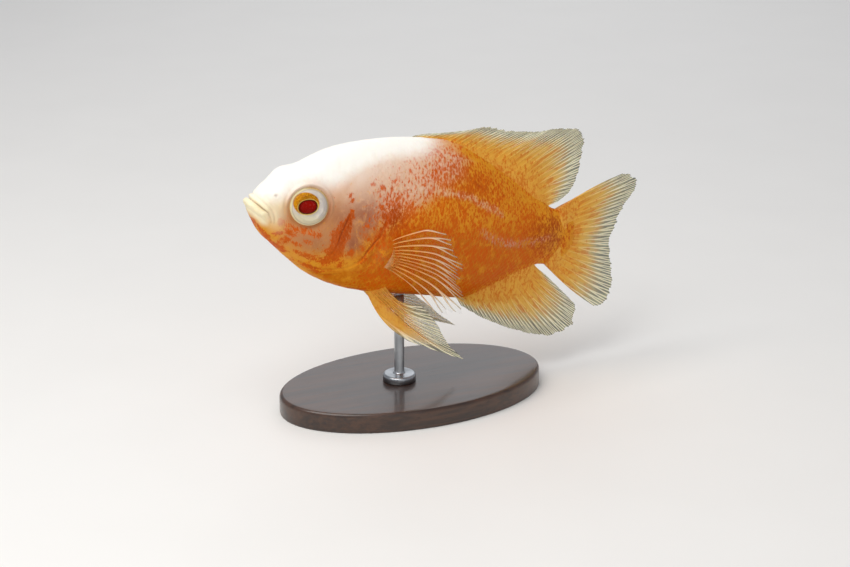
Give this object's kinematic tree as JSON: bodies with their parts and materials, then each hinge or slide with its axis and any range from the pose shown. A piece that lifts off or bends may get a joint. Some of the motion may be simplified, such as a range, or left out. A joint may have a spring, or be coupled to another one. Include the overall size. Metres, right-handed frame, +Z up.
{
  "type": "oscar fish display model",
  "caption": "Life-size young oscar, a deep-bodied cichlid with raised fins, swimming head up on a steel rod over an oval wooden base.",
  "frame": {"origin": "centre of the bounding box on the underside of the stand", "axes": "+Z up, the head towards -X and the tail towards +X, the fish's left side towards -Y"},
  "size_m": [0.133, 0.05, 0.0828],
  "materials": {
    "pale_skin": "moist, pinkish white skin",
    "jaw_skin": "moist, cream yellow skin",
    "orange_skin": "moist, orange scaled skin",
    "eye": "wet and clear over a pearly ring, gold rim and dark red pupil",
    "fin": "thin translucent skin between paler rays",
    "clear_fin": "nearly clear skin between pinkish rays",
    "dark_wood": "satin dark stained wood",
    "steel": "satin steel"
  },
  "bodies": {
    "root": {"head": "pale_skin", "lower_jaw": "jaw_skin", "gill_cover_left": "pale_skin", "gill_cover_right": "pale_skin", "trunk": "orange_skin", "tail_stalk": "orange_skin", "eye_left": "eye", "eye_right": "eye", "dorsal_fin": "fin", "anal_fin": "fin", "tail_fin": "fin", "pectoral_fin_left": "clear_fin", "pectoral_fin_right": "clear_fin", "pelvic_fin_left": "fin", "pelvic_fin_right": "fin", "stand_base": "dark_wood", "stand_rod": "steel"}
  },
  "joints": []
}
